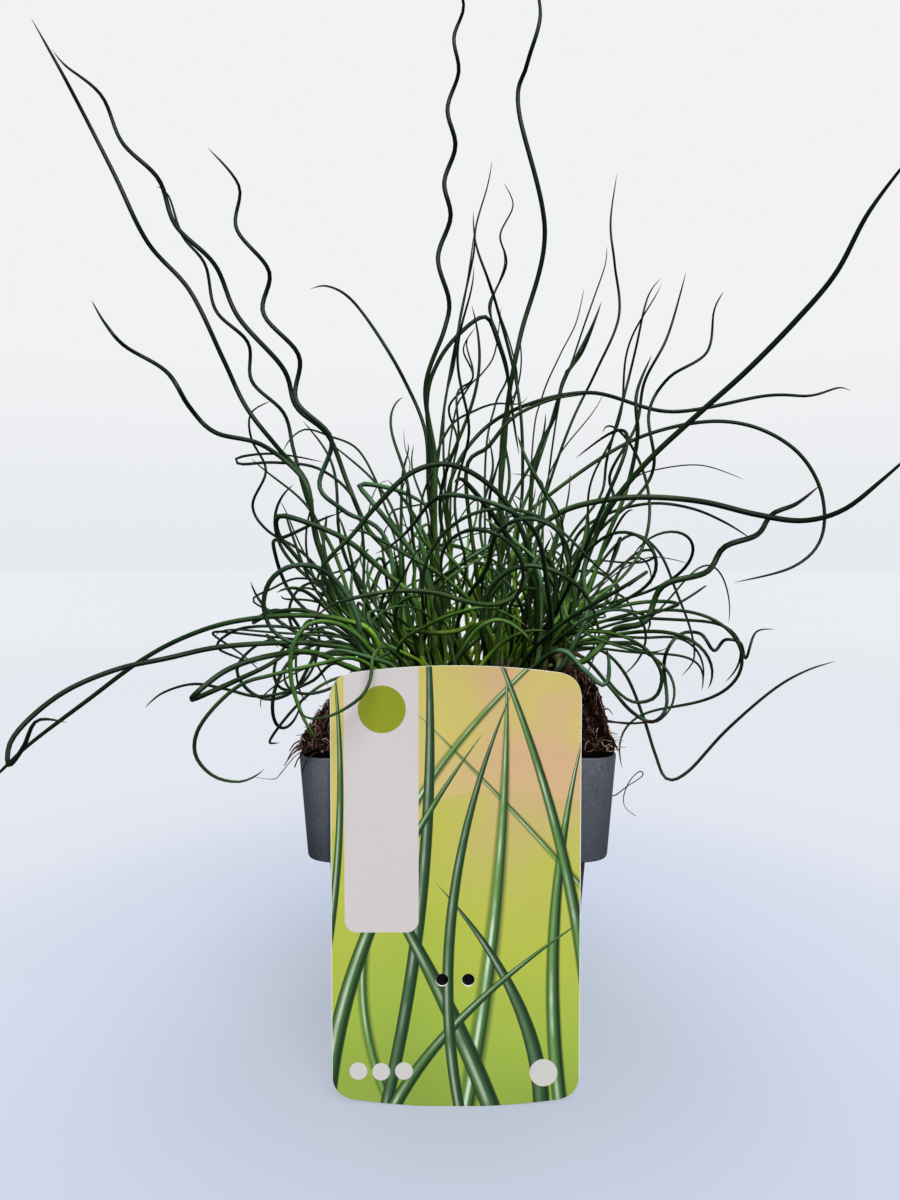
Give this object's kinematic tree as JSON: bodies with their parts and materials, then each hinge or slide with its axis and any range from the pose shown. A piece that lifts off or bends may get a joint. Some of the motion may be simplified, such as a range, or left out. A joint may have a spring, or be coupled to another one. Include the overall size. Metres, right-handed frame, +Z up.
{
  "type": "potted corkscrew rush",
  "caption": "Corkscrew rush, a clump of curling leafless green stems, growing in a square nursery pot with a plant tag leaning on the rim.",
  "frame": {"origin": "middle of the pot's base, on the surface that the pot stands on", "axes": "+Z up, -Y towards the side where the tag stands, +X to the right as seen from that side"},
  "size_m": [0.2836, 0.1481, 0.3295],
  "materials": {
    "pot_plastic": "matte, finely grained",
    "potting_mix": "rough, fibrous",
    "tag_plastic": "printed, satin",
    "rush_stems": "waxy, finely striped"
  },
  "bodies": {
    "root": {"pot": "pot_plastic", "soil": "potting_mix", "label": "tag_plastic", "tuft_front_left": "rush_stems", "tuft_front_right": "rush_stems", "tuft_back_left": "rush_stems", "tuft_back_right": "rush_stems"}
  },
  "joints": []
}
